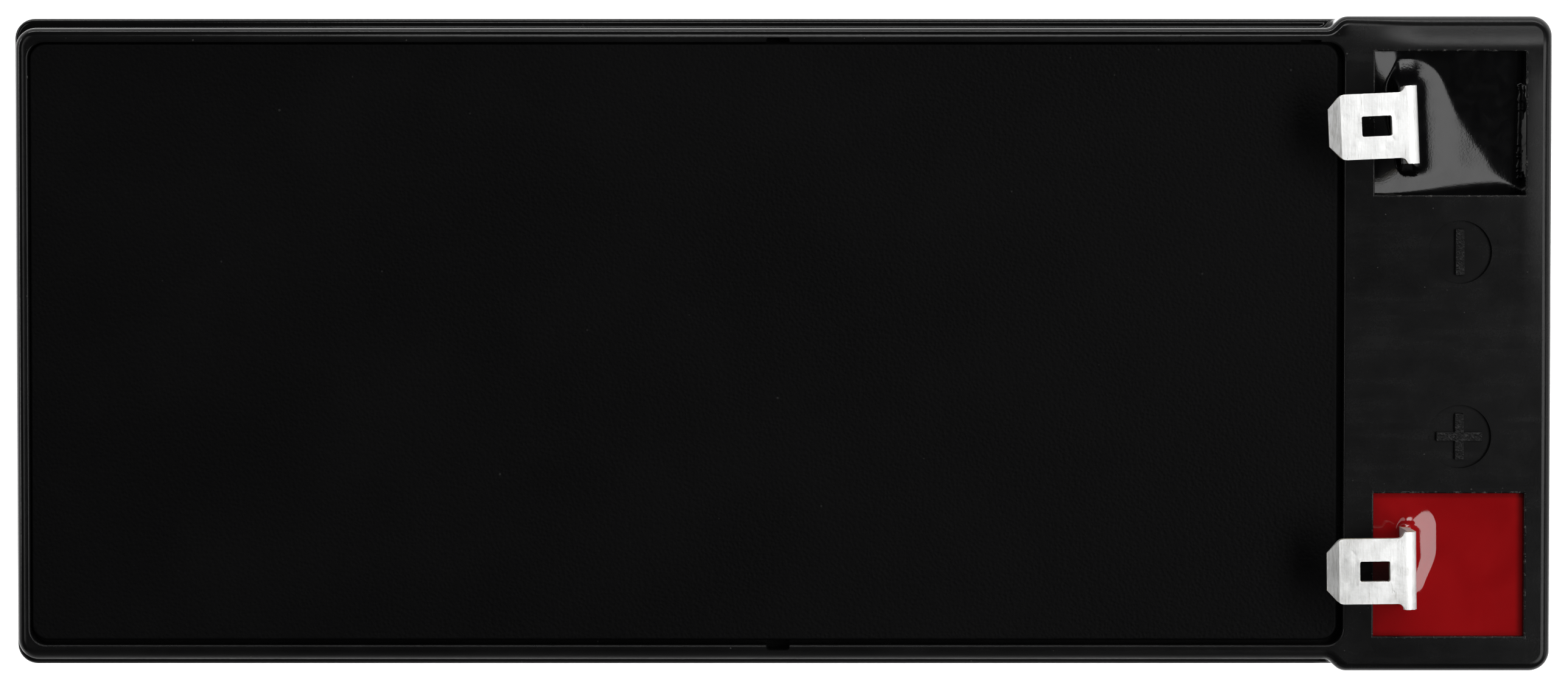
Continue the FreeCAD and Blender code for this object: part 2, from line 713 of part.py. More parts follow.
# ---------------------------------------------------------------- terminals: post, seal ring, blade, solder, resin
for word, sy, yaw in (("negative", 1, p.neg_yaw), ("positive", -1, p.pos_yaw)):
    post = new_body(word + "_post")
    sk = new_sketch(post, "profile", role="XZ_Plane")
    outline(
        sk,
        [
            (0, p.strap_top),
            (p.post_rad, p.strap_top),
            (p.post_rad, p.foot_bottom),
            (p.tip_rad, p.foot_bottom),
            (p.tip_rad, p.tip_top),
            (0, p.tip_top),
        ],
    )
    revolve(post, sk, "turned")
    place(post, p.well_x, p.well_y * sy)
    keep(post)

    ring = doc.addObject("Part::Torus", word + "_post_seal_ring")
    bind(ring, "Radius1", p.ring_rad)
    bind(ring, "Radius2", p.ring_cord)
    place(ring, p.well_x, p.well_y * sy, p.well_floor + p.ring_cord + 0.02)
    keep(ring, word + "_post_seal_ring")

    tab = new_body(word + "_blade_terminal")
    sk = new_sketch(tab, "profile", role="XZ_Plane")
    leg_in = p.leg_outer - p.blade_thick
    under = p.blade_top - p.blade_thick
    outline(
        sk,
        [
            (p.blade_tip, under + p.blade_tip_thin),
            (p.blade_tip + p.blade_bevel, under),
            (leg_in, under, p.bend_in),
            (leg_in, p.foot_bottom, p.bend_out),
            (p.foot_end, p.foot_bottom),
            (p.foot_end, p.foot_bottom + p.blade_thick),
            (p.leg_outer, p.foot_bottom + p.blade_thick, p.bend_in),
            (p.leg_outer, p.blade_top, p.bend_out),
            (p.blade_tip + p.blade_bevel, p.blade_top),
            (p.blade_tip, p.blade_top - p.blade_tip_thin),
        ],
    )
    pad(tab, sk, p.leg_width, "strip", midplane=True)
    sk = new_sketch(tab, "trim_outline", height=p.blade_top + 1)
    far = p.blade_tip - 1
    for s in (1, -1):
        pts = [
            (far, p.blade_tip_half * s),
            (p.blade_tip, p.blade_tip_half * s),
            (p.blade_tip + p.blade_bevel, p.blade_width / 2 * s, p.bend_in),
            (p.shoulder_x, p.blade_width / 2 * s, p.neck_fillet),
            (p.shoulder_x, p.leg_width * s),
            (far, p.leg_width * s),
        ]
        outline(sk, pts if s > 0 else pts[::-1])
    pocket(tab, sk, p.blade_thick + 2, "trim")
    sk = new_sketch(tab, "window_outline", height=p.blade_top + 1)
    rect(
        sk,
        p.slot_x - p.slot_length / 2,
        p.slot_x + p.slot_length / 2,
        -p.slot_width / 2,
        p.slot_width / 2,
        0.2,
    )
    pocket(tab, sk, p.blade_thick + 2, "window")
    sk = new_sketch(tab, "foot_hole_outline", height=p.foot_bottom + 2)
    circle(sk, 0, 0, p.foot_hole)
    pocket(tab, sk, 4, "foot_bore")

    def foot_corner(e):
        b = e.BoundBox
        return (
            abs(b.XMin - p.foot_end.v) < 1e-3
            and abs(b.XMax - p.foot_end.v) < 1e-3
            and b.ZLength > 0.5 * p.blade_thick.v
            and b.YLength < 1e-3
        )

    round_edges(tab, foot_corner, 2.0, "foot_round")
    place(tab, p.well_x, p.well_y * sy, 0, yaw)
    keep(tab)

    solder = new_body(word + "_solder_joint")
    sk = new_sketch(solder, "profile", role="XZ_Plane")
    foot_top = p.foot_bottom + p.blade_thick
    outline(
        sk,
        [
            (0, p.tip_top),
            (p.tip_rad, p.tip_top),
            (p.tip_rad, foot_top),
            (p.solder_rad - 0.3, foot_top),
            (p.solder_rad - 0.7, p.tip_top + 0.1),
            (1.0, p.solder_top),
            (0, p.solder_top),
        ],
    )
    revolve(solder, sk, "turned")
    place(solder, p.well_x, p.well_y * sy)
    keep(solder)

    # resin fills the well round everything that stands in it
    block = doc.addObject("Part::Box", word + "_resin_block")
    bind(block, "Length", p.well_length)
    bind(block, "Width", p.well_width)
    bind(block, "Height", p.resin_top - p.well_floor)
    place(block, p.well_x - p.well_length / 2, p.well_y * sy - p.well_width / 2, p.well_floor)
    under_foot = doc.addObject("Part::Cylinder", word + "_ring_space")
    bind(under_foot, "Radius", p.ring_rad + p.ring_cord + 0.02)
    bind(under_foot, "Height", p.foot_bottom - p.well_floor)
    place(under_foot, p.well_x, p.well_y * sy, p.well_floor)
    tip_space = doc.addObject("Part::Cylinder", word + "_tip_space")
    bind(tip_space, "Radius", p.foot_hole)
    bind(tip_space, "Height", p.blade_thick)
    place(tip_space, p.well_x, p.well_y * sy, p.foot_bottom)
    inside = doc.addObject("Part::MultiFuse", word + "_in_resin")
    inside.Shapes = [tab, under_foot, tip_space, post, solder]
    resin = doc.addObject("Part::Cut", word + "_well_resin")
    resin.Base, resin.Tool = block, inside
    doc.recompute()
    keep(resin, word + "_well_resin")

# ---------------------------------------------------------------- plate packs
for k, sx, sy in cell_centres():
    cx, cy = cell_x * sx, cell_y * sy
    neg_side = 1 if k <= 3 else -1  # the negative lugs stand at +X in the first row, at -X in the second
    for word, count, thick, first, side in (
        ("positive", p.pos_count, p.pos_thick, -1.5 * pitch, -neg_side),
        ("negative", p.neg_count, p.neg_thick, -2 * pitch, neg_side),
    ):
        body = new_body("cell_%d_%s_plates" % (k, word))
        half = p.plate_width / 2
        lug0, lug1 = p.lug_offset * side - p.lug_width / 2, p.lug_offset * side + p.lug_width / 2
        sk = new_sketch(body, "paste_outline", role="XZ_Plane")
        outline(
            sk,
            [
                (-half, p.plate_foot),
                (half, p.plate_foot),
                (half, p.plate_top),
                (lug1, p.plate_top),
                (lug1, p.strap_foot),
                (lug0, p.strap_foot),
                (lug0, p.plate_top),
                (-half, p.plate_top),
            ],
        )
        paste = pad(body, sk, thick - 2 * p.grid_proud, "paste", midplane=True)
        sk = new_sketch(body, "grid_outline", role="XZ_Plane")
        rect(sk, -half, half, p.plate_foot, p.plate_top)
        middle = (p.plate_foot + p.plate_top) / 2
        bar = p.frame_bar
        for x0, x1 in ((bar - half, -bar / 2), (bar / 2, half - bar)):
            for z0, z1 in ((p.plate_foot + bar, middle - bar / 2), (middle + bar / 2, p.plate_top - bar)):
                rect(sk, x0, x1, z0, z1)
        grid = pad(body, sk, thick, "grid", midplane=True)
        row = body.newObject("PartDesign::LinearPattern", body.Label + "_row")
        row.Originals = [paste, grid]
        row.Direction = (origin_part(body, "Y_Axis"), [""])
        row.Mode = "Spacing"
        row.Occurrences = int(count.v)
        bind(row, "Occurrences", count)
        bind(row, "Offset", pitch)
        body.Tip = row
        place(body, cx, cy + first)
        doc.recompute()
        keep(body)
    body = new_body("cell_%d_separators" % k)
    sk = new_sketch(body, "fold_outline", role="YZ_Plane")
    gap, out = p.pos_thick / 2, p.pos_thick / 2 + p.mat_thick
    outline(
        sk,
        [
            (-out, p.mat_foot),
            (out, p.mat_foot),
            (out, p.mat_top),
            (gap, p.mat_top),
            (gap, p.mat_foot + p.mat_thick),
            (-gap, p.mat_foot + p.mat_thick),
            (-gap, p.mat_top),
            (-out, p.mat_top),
        ],
    )
    fold = pad(body, sk, p.mat_width, "fold", midplane=True)
    row = body.newObject("PartDesign::LinearPattern", body.Label + "_row")
    row.Originals = [fold]
    row.Direction = (origin_part(body, "Y_Axis"), [""])
    row.Mode = "Spacing"
    row.Occurrences = int(p.pos_count.v)
    bind(row, "Occurrences", p.pos_count)
    bind(row, "Offset", pitch)
    body.Tip = row
    place(body, cx, cy - 1.5 * pitch)
    doc.recompute()
    keep(body)


# ---------------------------------------------------------------- cast straps
def strap(label, bar, arm, upright):
    """bar, arm and upright are (x0, x1, y0, y1); the upright rises against a divider, or is None."""
    body = new_body(label)
    sk = new_sketch(body, "bar_outline", height=p.strap_foot)
    rect(sk, *bar)
    pad(body, sk, p.strap_top - p.strap_foot, "bar")
    if arm:
        sk = new_sketch(body, "arm_outline", height=p.strap_foot)
        rect(sk, *arm)
        pad(body, sk, p.strap_top - p.strap_foot, "arm")
    if upright:
        sk = new_sketch(body, "upright_outline", height=p.strap_foot)
        rect(sk, *upright)
        pad(body, sk, p.upright_top - p.strap_foot, "upright")
    doc.recompute()
    return keep(body)


for k, sx, sy in cell_centres():
    cx, cy = cell_x * sx, cell_y * sy
    neg_side = 1 if k <= 3 else -1
    for word, half, side in (
        ("positive", p.pos_strap_half, -neg_side),
        ("negative", p.neg_strap_half, neg_side),
    ):
        x = cx + p.lug_offset * side
        bar = [x - p.strap_width / 2, x + p.strap_width / 2, cy - half, cy + half]
        arm = upright = None
        if (k == 1 and word == "negative") or (k == 6 and word == "positive"):
            # a seat under the post
            arm = (
                x + p.strap_width / 2,
                p.well_x + p.post_rad + 0.5,
                p.well_y * sy - p.post_rad - 0.5,
                p.well_y * sy + p.post_rad + 0.5,
            )
        elif (k == 3 and word == "positive") or (k == 4 and word == "negative"):
            # turns the current round the end of the middle divider
            face = p.divider_thick / 2
            if sy > 0:
                bar[2] = face
                upright = (x - p.arm_width / 2, x + p.arm_width / 2, face, face + p.upright_thick)
            else:
                bar[3] = -face
                upright = (x - p.arm_width / 2, x + p.arm_width / 2, -face - p.upright_thick, -face)
        else:
            y0, y1 = cy - p.arm_width / 2, cy + p.arm_width / 2
            if side > 0:
                face = cx + cell_length / 2
                arm = (x + p.strap_width / 2, face, y0, y1)
                upright = (face - p.upright_thick, face, y0, y1)
            else:
                face = cx - cell_length / 2
                arm = (face, x - p.strap_width / 2, y0, y1)
                upright = (face, face + p.upright_thick, y0, y1)
        strap("cell_%d_%s_strap" % (k, word), tuple(bar), arm, upright)

# ---------------------------------------------------------------- welds through the dividers
body = new_body("intercell_welds")
sk = new_sketch(body, "first_outline", role="YZ_Plane", height=divider_x - p.divider_thick / 2)
circle(sk, cell_y, p.weld_height, p.weld_rad)
circle(sk, -cell_y, p.weld_height, p.weld_rad)
pad(body, sk, p.divider_thick, "first")
sk = new_sketch(body, "second_outline", role="YZ_Plane", height=-divider_x - p.divider_thick / 2)
circle(sk, cell_y, p.weld_height, p.weld_rad)
circle(sk, -cell_y, p.weld_height, p.weld_rad)
pad(body, sk, p.divider_thick, "second")
sk = new_sketch(body, "turn_outline", role="XZ_Plane")
circle(sk, -cell_x - p.lug_offset, p.weld_height, p.weld_rad)
pad(body, sk, p.divider_thick, "turn", midplane=True)
keep(body)

doc.recompute()

# ---------------------------------------------------------------- checks and export
bad = [o.Name for o in doc.Objects if "Invalid" in o.State or "Error" in o.State]
if bad:
    raise RuntimeError("failed objects: %s" % bad)
for obj in made:
    shape = obj.Shape
    if shape.isNull() or not shape.isValid() or not shape.Solids:
        raise RuntimeError("bad shape: " + obj.Label)
os.makedirs("parts", exist_ok=True)
for old in os.listdir("parts"):
    if old.endswith(".step"):
        os.remove(os.path.join("parts", old))
total = 0.0
for obj in made:
    obj.Shape.exportStep("parts/%s.step" % obj.Label)
    total += obj.Shape.Volume
    box = obj.Shape.BoundBox
    print(
        "%-26s solids %2d volume %9.2f  x %7.2f %7.2f  y %7.2f %7.2f  z %6.2f %6.2f"
        % (obj.Label, len(obj.Shape.Solids), obj.Shape.Volume, box.XMin, box.XMax, box.YMin, box.YMax, box.ZMin, box.ZMax)
    )
print("nodes", len(made), "volume cm3 %.1f" % (total / 1000))
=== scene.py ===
"""Looks of the sealed lead-acid battery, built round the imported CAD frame. Metres, +Z up."""
import json
import math
import random

import bmesh
import bpy
from mathutils import Matrix, Vector, noise


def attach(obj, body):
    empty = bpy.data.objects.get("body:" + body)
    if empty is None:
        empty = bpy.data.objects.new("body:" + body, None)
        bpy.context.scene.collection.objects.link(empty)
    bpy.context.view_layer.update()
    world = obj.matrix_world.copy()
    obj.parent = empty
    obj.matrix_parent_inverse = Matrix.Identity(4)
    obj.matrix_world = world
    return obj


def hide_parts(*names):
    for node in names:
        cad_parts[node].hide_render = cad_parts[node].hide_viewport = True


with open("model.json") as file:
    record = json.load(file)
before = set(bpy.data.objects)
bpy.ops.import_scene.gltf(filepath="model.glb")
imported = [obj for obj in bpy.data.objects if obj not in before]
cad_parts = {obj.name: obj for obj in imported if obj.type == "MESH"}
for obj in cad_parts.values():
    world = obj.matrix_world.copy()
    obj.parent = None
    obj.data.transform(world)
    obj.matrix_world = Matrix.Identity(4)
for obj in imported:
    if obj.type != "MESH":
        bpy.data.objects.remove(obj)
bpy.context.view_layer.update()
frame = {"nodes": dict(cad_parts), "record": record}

MM = 0.001
scene = bpy.context.scene


# ------------------------------------------------------------------ camera
# nearly straight down, from above the middle of the back half, turned a little so that the back edge shows its ledge
cam_data = bpy.data.cameras.new("camera")
cam = bpy.data.objects.new("camera", cam_data)
scene.collection.objects.link(cam)
scene.camera = cam
cam_data.sensor_width = 36.0
cam_data.lens = 90.58
cam_data.shift_x = 0.0039
cam_data.shift_y = -0.04
cam.location = (0.0, 0.016322, 0.478416)
cam.rotation_euler = (-0.026430, 0.0, 0.0)
cam_data.clip_start = 0.01
cam_data.clip_end = 20


# ------------------------------------------------------------------ material tools
def rgb(r, g, b):
    return (r, g, b, 1.0)


class Mat:
    """A node material with one Principled shader, and short ways to add nodes."""

    def __init__(self, name):
        self.m = bpy.data.materials.new(name)
        self.m.use_nodes = True
        self.t = self.m.node_tree
        self.t.nodes.clear()
        self.out = self.t.nodes.new("ShaderNodeOutputMaterial")
        self.b = self.t.nodes.new("ShaderNodeBsdfPrincipled")
        self.t.links.new(self.b.outputs[0], self.out.inputs[0])
        self.coord = self.t.nodes.new("ShaderNodeTexCoord").outputs["Object"]

    def node(self, kind, **props):
        n = self.t.nodes.new(kind)
        for k, v in props.items():
            setattr(n, k, v)
        return n

    def link(self, a, b):
        self.t.links.new(a, b)

    def put(self, socket, value):
        if hasattr(value, "is_linked") or isinstance(value, bpy.types.NodeSocket):
            self.link(value, socket)
        else:
            socket.default_value = value

    def mapped(self, scale, rot=(0, 0, 0)):
        n = self.node("ShaderNodeMapping")
        n.inputs["Scale"].default_value = scale
        n.inputs["Rotation"].default_value = rot
        self.link(self.coord, n.inputs["Vector"])
        return n.outputs[0]

    def noise(self, scale, detail=4.0, rough=0.55, vec=None, distortion=0.0):
        n = self.node("ShaderNodeTexNoise")
        n.inputs["Scale"].default_value = scale
        n.inputs["Detail"].default_value = detail
        n.inputs["Roughness"].default_value = rough
        n.inputs["Distortion"].default_value = distortion
        self.link(vec if vec is not None else self.coord, n.inputs["Vector"])
        return n.outputs["Fac"]

    def voronoi(self, scale, feature="F1", vec=None, out="Distance"):
        n = self.node("ShaderNodeTexVoronoi")
        n.feature = feature
        n.inputs["Scale"].default_value = scale
        self.link(vec if vec is not None else self.coord, n.inputs["Vector"])
        return n.outputs[out]

    def ramp(self, fac, lo, hi, a=0.0, b=1.0, smooth=True):
        n = self.node("ShaderNodeMapRange")
        n.interpolation_type = "SMOOTHSTEP" if smooth else "LINEAR"
        n.clamp = True
        self.link(fac, n.inputs["Value"])
        n.inputs["From Min"].default_value = lo
        n.inputs["From Max"].default_value = hi
        n.inputs["To Min"].default_value = a
        n.inputs["To Max"].default_value = b
        return n.outputs[0]

    def math(self, op, a, b=None, clamp=False):
        n = self.node("ShaderNodeMath", operation=op)
        n.use_clamp = clamp
        self.put(n.inputs[0], a)
        if b is not None:
            self.put(n.inputs[1], b)
        return n.outputs[0]

    def mix(self, fac, a, b):
        n = self.node("ShaderNodeMix", data_type="RGBA")
        self.put(n.inputs["Factor"], fac)
        self.put(n.inputs[6], a)
        self.put(n.inputs[7], b)
        return n.outputs[2]

    def bump(self, height, distance, strength=1.0, after=None):
        n = self.node("ShaderNodeBump")
        n.inputs["Strength"].default_value = strength
        n.inputs["Distance"].default_value = distance
        self.link(height, n.inputs["Height"])
        if after is not None:
            self.link(after, n.inputs["Normal"])
        return n.outputs[0]

    def xyz(self):
        n = self.node("ShaderNodeSeparateXYZ")
        self.link(self.coord, n.inputs[0])
        return n.outputs[0], n.outputs[1], n.outputs[2]


def band(m, value, centre, half, soft):
    """1 where value is within half of centre, falling to 0 over soft."""
    off = m.math("ABSOLUTE", m.math("SUBTRACT", value, centre))
    return m.math("SUBTRACT", 1.0, m.ramp(off, half, half + soft))


def both(m, a, b):
    return m.math("MULTIPLY", a, b)


def either(m, a, b):
    return m.math("MAXIMUM", a, b)


def specks(m, scale, size, seed_shift=0.0):
    """Mask of small scattered specks: one in a few cells, each of its own size."""
    v = m.node("ShaderNodeTexVoronoi")
    v.inputs["Scale"].default_value = scale
    v.inputs["Randomness"].default_value = 1.0
    mp = m.node("ShaderNodeMapping")
    mp.inputs["Location"].default_value = (seed_shift, seed_shift * 0.7, seed_shift * 0.3)
    m.link(m.coord, mp.inputs["Vector"])
    m.link(mp.outputs[0], v.inputs["Vector"])
    sep = m.node("ShaderNodeSeparateColor")
    m.link(v.outputs["Color"], sep.inputs[0])
    keep = m.ramp(sep.outputs[0], 0.86, 1.0, 0.0, size, smooth=False)
    near = m.math("SUBTRACT", keep, v.outputs["Distance"])
    return m.ramp(near, 0.0, size * 0.25)


# ------------------------------------------------------------------ materials
def plastic_case():
    m = Mat("black_abs_satin")
    x, y, z = m.xyz()
    ay = m.math("ABSOLUTE", y)
    base = m.noise(90, 4, 0.6)
    col = m.mix(m.ramp(base, 0.35, 0.7), rgb(0.0024, 0.0024, 0.0025), rgb(0.0039, 0.0039, 0.0040))
    dust = specks(m, 520, 0.08)
    dust2 = specks(m, 1300, 0.13, 3.1)
    lint = m.math("MAXIMUM", dust, m.math("MULTIPLY", dust2, 0.6))
    col = m.mix(m.math("MULTIPLY", lint, 0.22), col, rgb(0.16, 0.157, 0.15))

    # thin broken flash along the mouths of the two wells
    top = m.ramp(z, 0.0936, 0.0939)
    ox = m.math("ABSOLUTE", m.math("SUBTRACT", x, 0.0655))
    oy = m.math("ABSOLUTE", m.math("SUBTRACT", ay, 0.02155))
    on_x = both(m, band(m, ox, 0.00742, 0.00004, 0.00010), band(m, oy, 0.0, 0.0071, 0.0002))
    on_y = both(m, band(m, oy, 0.00707, 0.00004, 0.00010), band(m, ox, 0.0, 0.0074, 0.0002))
    chips = m.ramp(m.noise(1500, 4, 0.75), 0.53, 0.66)
    flash = both(m, both(m, either(m, on_x, on_y), top), chips)
    col = m.mix(m.math("MULTIPLY", flash, 0.55), col, rgb(0.11, 0.107, 0.10))

    # the bars of the two polarity marks keep the spark-eroded grain of the mould
    mx = m.math("ABSOLUTE", m.math("SUBTRACT", x, 0.0665))
    my = m.math("ABSOLUTE", m.math("SUBTRACT", ay, 0.0090))
    long_bar = both(m, band(m, mx, 0.0, 0.00223, 0.00004), band(m, my, 0.0, 0.00040, 0.00004))
    cross_bar = both(m, band(m, my, 0.0, 0.00223, 0.00004), band(m, mx, 0.0, 0.00040, 0.00004))
    long_bar = both(m, long_bar, m.math("SUBTRACT", 1.0, m.ramp(y, -0.002, 0.002)))
    bars = both(m, either(m, long_bar, cross_bar), m.ramp(z, 0.0920, 0.0930))
    spark = m.noise(4300, 2, 0.75)
    col = m.mix(m.math("MULTIPLY", both(m, bars, m.ramp(spark, 0.50, 0.68)), 0.5), col, rgb(0.05, 0.05, 0.05))
    m.link(col, m.b.inputs["Base Color"])

    fine = m.noise(5200, 3, 0.65)
    cloudy = m.noise(240, 4, 0.6)
    smear = m.noise(1.0, 5, 0.6, vec=m.mapped((60, 700, 300)))
    r = m.math("ADD", m.ramp(cloudy, 0.3, 0.75, 0.22, 0.27), m.ramp(fine, 0.3, 0.7, -0.02, 0.02))
    r = m.math("ADD", r, m.ramp(smear, 0.45, 0.8, 0.0, 0.05))
    # polished where the mould was: the rounded edges of the raised rim and of the step
    rim_y = both(m, m.ramp(y, 0.0298, 0.0303), m.math("SUBTRACT", 1.0, m.ramp(x, 0.0545, 0.0560)))
    rim_x = m.ramp(m.math("MULTIPLY", x, -1.0), 0.0733, 0.0738)
    shiny = both(m, either(m, rim_y, rim_x), m.ramp(z, 0.0868, 0.0875))
    r = m.math("MULTIPLY", r, m.math("SUBTRACT", 1.0, m.math("MULTIPLY", shiny, 0.72)))
    worn_edge = both(m, both(m, m.ramp(m.math("MULTIPLY", y, -1.0), 0.0298, 0.0304), m.ramp(z, 0.0868, 0.0875)),
                     m.math("SUBTRACT", 1.0, m.ramp(x, 0.0530, 0.0540)))
    r = m.math("ADD", r, m.math("MULTIPLY", worn_edge, 0.26))
    r = m.math("ADD", r, m.math("MULTIPLY", either(m, lint, either(m, flash, m.math("MULTIPLY", bars, 0.7))), 0.25), clamp=True)
    m.link(r, m.b.inputs["Roughness"])
    m.b.inputs["IOR"].default_value = 1.49
    m.b.inputs["Specular IOR Level"].default_value = 0.15
    sink = m.noise(26, 2, 0.4)
    n = m.bump(sink, 0.00030, 0.6)
    # the frame round the wells draws in a little towards its outer edge
    dome = both(m, m.ramp(y, 0.0284, 0.0326), m.ramp(x, 0.0530, 0.0640))
    dome2 = both(m, m.ramp(x, 0.0724, 0.0770), both(m, m.ramp(y, -0.0050, 0.0160), m.math("SUBTRACT", 1.0, m.ramp(y, 0.0240, 0.0300))))
    fall = m.math("ADD", dome, m.math("MULTIPLY", dome2, 0.24))
    n = m.bump(m.math("MULTIPLY", fall, -1.0), 0.00088, 1.0, n)
    n = m.bump(cloudy, 0.000008, 0.8, n)
    n = m.bump(fine, 0.000004, 0.9, n)
    n = m.bump(both(m, bars, spark), 0.00040, 1.0, n)
    n = m.bump(either(m, lint, flash), 0.00005, 0.9, n)
    m.link(n, m.b.inputs["Normal"])
    return m.m


def plastic_cover():
    m = Mat("black_abs_grained")
    grain = m.noise(3600, 4, 0.7)
    pores = m.voronoi(2600)
    cloudy = m.noise(55, 5, 0.6)
    col = m.mix(m.ramp(cloudy, 0.3, 0.75), rgb(0.0015, 0.0015, 0.0016), rgb(0.0022, 0.0022, 0.0023))
    dust = specks(m, 700, 0.10, 1.7)
    col = m.mix(m.math("MULTIPLY", dust, 0.10), col, rgb(0.12, 0.12, 0.115))
    m.link(col, m.b.inputs["Base Color"])
    r = m.math("ADD", m.ramp(grain, 0.25, 0.75, 0.46, 0.60), m.ramp(cloudy, 0.3, 0.8, -0.03, 0.05), clamp=True)
    m.link(r, m.b.inputs["Roughness"])
    m.b.inputs["Specular IOR Level"].default_value = 0.035
    n = m.bump(m.ramp(pores, 0.0, 0.75), 0.00003, 0.7)
    n = m.bump(grain, 0.00003, 0.9, n)
    m.link(n, m.b.inputs["Normal"])
    return m.m


def resin(name, deep, thin, rough, level, grainy, smear=False):
    m = Mat(name)
    swirl = m.noise(160, 3, 0.5, distortion=0.6)
    col = m.mix(m.ramp(swirl, 0.3, 0.75), deep, thin)
    bubbles = specks(m, 900, 0.10, 5.2)
    col = m.mix(m.math("MULTIPLY", bubbles, 0.25), col, thin)
    fine = m.noise(900, 3, 0.5)
    r = m.ramp(fine, 0.3, 0.8, rough, rough + 0.05)
    if smear:
        # a dull smear left on the right wall when the well was filled, painted a lighter grey so that it also stands as
        # a painted highlight on that wall
        x, y, z = m.xyz()
        edge = m.math("ADD", x, m.ramp(m.noise(420, 3, 0.6), 0.35, 0.75, -0.00030, 0.00055))
        smear_film_and_highlight = both(m, m.ramp(edge, 0.07262, 0.07272), band(m, y, 0.0206, 0.0046, 0.0002))
        smear_film_and_highlight = both(m, smear_film_and_highlight, m.ramp(z, 0.0924, 0.0928))
        col = m.mix(m.math("MULTIPLY", smear_film_and_highlight, 0.85), col, rgb(0.13, 0.13, 0.128))
        r = m.math("ADD", r, m.math("MULTIPLY", smear_film_and_highlight, 0.35), clamp=True)
    else:
        # painted shade: the resin's colour is darkened below the blade, where the blade shades it
        x, y, z = m.xyz()
        painted_shade_under_blade = both(m, band(m, x, 0.0592, 0.0012, 0.0009), band(m, y, -0.02160, 0.0016, 0.0012))
        col = m.mix(m.math("MULTIPLY", painted_shade_under_blade, 0.85), col, rgb(0.012, 0.004, 0.004))
    m.link(col, m.b.inputs["Base Color"])
    m.link(r, m.b.inputs["Roughness"])
    m.b.inputs["IOR"].default_value = 1.46
    m.b.inputs["Specular IOR Level"].default_value = level
    n = m.bump(m.noise(330, 2, 0.4), 0.00003, 0.5)
    n = m.bump(m.noise(5200, 2, 0.6), 0.000010 * grainy, 0.8, n)
    n = m.bump(bubbles, 0.00003, 0.6, n)
    m.link(n, m.b.inputs["Normal"])
    return m.m


def tinned(name, cut=False, coined=False, handled=0.0):
    m = Mat(name)
    fine = m.noise(1.0, 4, 0.7, vec=m.mapped((700, 9000, 9000)))
    scratch = m.noise(1.0, 3, 0.6, vec=m.mapped((7000, 420, 3000), (0, 0, 0.35)))
    worn = m.noise(520, 5, 0.65)
    blot = m.noise(190, 4, 0.6)
    col = m.mix(m.ramp(blot, 0.42, 0.75), rgb(0.69, 0.69, 0.685), rgb(0.57, 0.57, 0.565))
    if handled:
        smudge = m.ramp(m.noise(230, 5, 0.7, distortion=0.4), 0.40, 0.66, 0.0, handled)
        col = m.mix(smudge, col, rgb(0.34, 0.34, 0.33))
        x = m.xyz()[0]
        col = m.mix(m.ramp(x, 0.0595, 0.0530, 0.0, handled * 0.7), col, rgb(0.38, 0.38, 0.37))
    if cut:
        brass = m.mix(m.ramp(worn, 0.35, 0.65), rgb(0.66, 0.56, 0.34), rgb(0.78, 0.74, 0.62))
        col = m.mix(m.ramp(m.noise(700, 3, 0.6), 0.40, 0.58), brass, col)
    else:
        col = m.mix(m.ramp(worn, 0.58, 0.76, 0.0, 0.55), col, rgb(0.42, 0.41, 0.385))
        col = m.mix(m.ramp(scratch, 0.60, 0.72, 0.0, 0.6), col, rgb(0.36, 0.355, 0.34))
    if coined:
        # the die leaves drag marks across the chamfered tip
        drag = m.noise(1.0, 4, 0.65, vec=m.mapped((5200, 650, 2500), (0, 0, 0.12)))
        col = m.mix(m.ramp(drag, 0.42, 0.66, 0.05, 0.6), col, rgb(0.36, 0.355, 0.34))
    m.link(col, m.b.inputs["Base Color"])
    m.b.inputs["Metallic"].default_value = 0.86
    r = m.math("ADD", m.ramp(blot, 0.3, 0.75, 0.44, 0.52), m.ramp(fine, 0.35, 0.7, -0.03, 0.04), clamp=True)
    m.link(r, m.b.inputs["Roughness"])
    pits = specks(m, 1500, 0.20, 9.3)
    n = m.bump(worn, 0.00003, 0.7)
    n = m.bump(fine, 0.000003, 0.9, n)
    n = m.bump(scratch, 0.000008, 0.9, n)
    n = m.bump(m.math("SUBTRACT", 1.0, pits), 0.00003, 0.8, n)
    m.link(n, m.b.inputs["Normal"])
    return m.m


def lead(name, a, b, rough, scale=300, dull=0.9):
    m = Mat(name)
    big = m.noise(scale, 5, 0.6)
    fine = m.noise(scale * 9, 4, 0.6)
    m.link(m.mix(m.ramp(big, 0.32, 0.7), a, b), m.b.inputs["Base Color"])
    m.b.inputs["Metallic"].default_value = dull
    m.link(m.math("ADD", m.ramp(big, 0.3, 0.7, rough, rough + 0.15), m.ramp(fine, 0.3, 0.7, -0.05, 0.08), clamp=True), m.b.inputs["Roughness"])
    n = m.bump(big, 0.0001, 0.7)
    n = m.bump(fine, 0.00002, 0.9, n)
    m.link(n, m.b.inputs["Normal"])
    return m.m


def rubber():
    m = Mat("valve_rubber")
    fine = m.noise(2200, 4, 0.6)
    bloom = m.noise(260, 4, 0.6)
    m.link(m.mix(m.ramp(bloom, 0.4, 0.75), rgb(0.012, 0.012, 0.012), rgb(0.04, 0.04, 0.038)), m.b.inputs["Base Color"])
    m.link(m.ramp(bloom, 0.3, 0.8, 0.55, 0.8), m.b.inputs["Roughness"])
    m.link(m.bump(fine, 0.00003, 0.8), m.b.inputs["Normal"])
    return m.m


